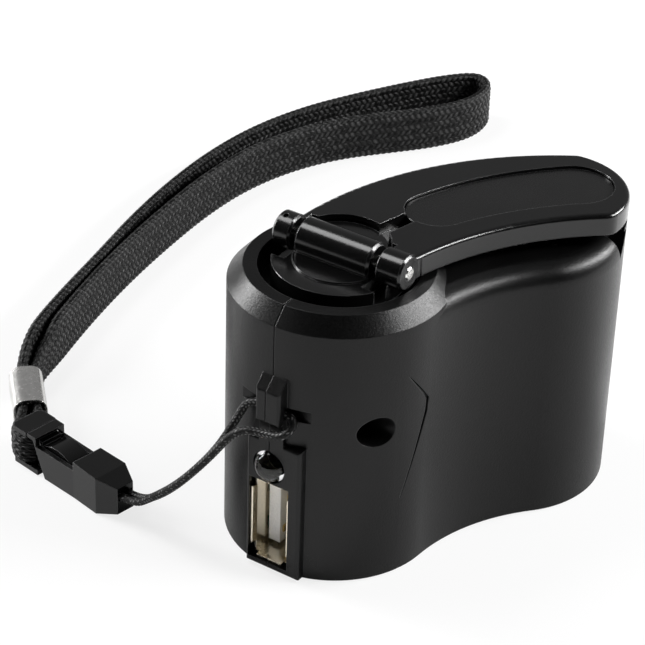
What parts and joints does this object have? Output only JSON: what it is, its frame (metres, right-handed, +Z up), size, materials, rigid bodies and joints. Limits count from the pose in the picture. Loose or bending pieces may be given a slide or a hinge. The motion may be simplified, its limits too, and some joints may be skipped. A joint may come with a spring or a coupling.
{
  "type": "hand crank phone charger",
  "caption": "Pocket hand crank phone charger: curved black body, folding crank arm on a round hub, charging socket and lamp at the front, and a wrist strap on a quick-release buckle.",
  "frame": {"origin": "On the flat base, straight under the crank's axis.", "axes": "+Z is up along the crank's axis. The charging socket and the lamp face -X, and +X runs to the rear, where the folded crank arm ends. -Y is the near side with the crease, and the strap lies on the +Y side."},
  "size_m": [0.1385, 0.0956, 0.0462],
  "materials": {
    "shell_plastic": "fine matte grain",
    "crank_plastic": "satin",
    "inlay_plastic": "satin with a bright thin edge",
    "buckle_plastic": "polished",
    "dark_screw": "blackened",
    "bright_metal": "polished nickel",
    "shaft_steel": "ground",
    "plate_steel": "zinc plated",
    "core_iron": "stacked sheet",
    "magnet": "matte ferrite",
    "coil_copper": "enamelled copper",
    "bush_brass": "turned",
    "gear_plastic": "moulded",
    "socket_nickel": "nickel plated sheet",
    "socket_white": "moulded",
    "contact_gold": "gold plated",
    "lamp_clear": "clear epoxy",
    "lamp_core": "lamp chip in its cup",
    "board_green": "lacquered",
    "can_aluminium": "drawn can",
    "chip_black": "moulded",
    "cord_braid": "round braid with pale specks",
    "strap_braid": "glossy flat braid"
  },
  "bodies": {
    "housing": {"near_shell": "shell_plastic", "far_shell": "shell_plastic", "shell_screws": "dark_screw", "gear_plate": "plate_steel", "upper_bush": "bush_brass", "lower_bush": "bush_brass", "idler_axle": "shaft_steel", "idler_clip": "shaft_steel", "idler_washer": "gear_plastic", "generator_can": "plate_steel", "stator_ring": "core_iron", "stator_coils": "coil_copper", "socket_shell": "socket_nickel", "socket_tongue": "socket_white", "socket_contacts": "contact_gold", "lamp_lens": "lamp_clear", "lamp_chip": "lamp_core", "lamp_leads": "shaft_steel", "circuit_board": "board_green", "capacitor": "can_aluminium", "regulator_chip": "chip_black", "rectifier_diodes": "chip_black", "wrist_cord_over": "cord_braid", "wrist_cord_under": "cord_braid", "buckle_socket": "buckle_plastic"},
    "crank": {"crank_hub": "crank_plastic", "crank_shaft": "shaft_steel", "drive_gear": "gear_plastic"},
    "arm": {"crank_arm": "crank_plastic", "arm_inlay": "inlay_plastic", "hinge_pin": "bright_metal", "grip_pin": "shaft_steel"},
    "grip": {"grip": "crank_plastic"},
    "idler": {"idler_gear": "gear_plastic"},
    "rotor": {"rotor_shaft": "shaft_steel", "rotor_pinion": "bush_brass", "rotor_magnet": "magnet"},
    "strap_end": {"buckle_tongue": "buckle_plastic", "strap_ferrule": "bright_metal", "wrist_strap": "strap_braid"}
  },
  "joints": [
    {"name": "crank_spin", "type": "hinge", "parent": "housing", "child": "crank", "pos_m": [0, 0, 0], "axis": [0, 0, 1], "continuous": true},
    {"name": "arm_fold", "type": "hinge", "parent": "crank", "child": "arm", "pos_m": [0, 0, 0.04355], "axis": [0, -1, 0], "range_deg": [0, 180]},
    {"name": "grip_fold", "type": "hinge", "parent": "arm", "child": "grip", "pos_m": [0.03448, -0.01604, 0.04215], "axis": [-0.3858, -0.9226, 0], "range_deg": [0, 90]},
    {"name": "idler_spin", "type": "hinge", "parent": "housing", "child": "idler", "pos_m": [0.01246, -0.00521, 0], "axis": [0, 0, 1], "continuous": true},
    {"name": "rotor_spin", "type": "hinge", "parent": "housing", "child": "rotor", "pos_m": [0.02306, -0.00965, 0], "axis": [0, 0, 1], "continuous": true},
    {"name": "buckle_release", "type": "slide", "parent": "housing", "child": "strap_end", "axis": [0.1754, 0.9845, 0], "range_m": [0, 0.014]}
  ],
  "couplings": [
    {"joint": "idler_spin", "follows": "crank_spin", "ratio": -3.5},
    {"joint": "rotor_spin", "follows": "crank_spin", "ratio": 12.6}
  ]
}
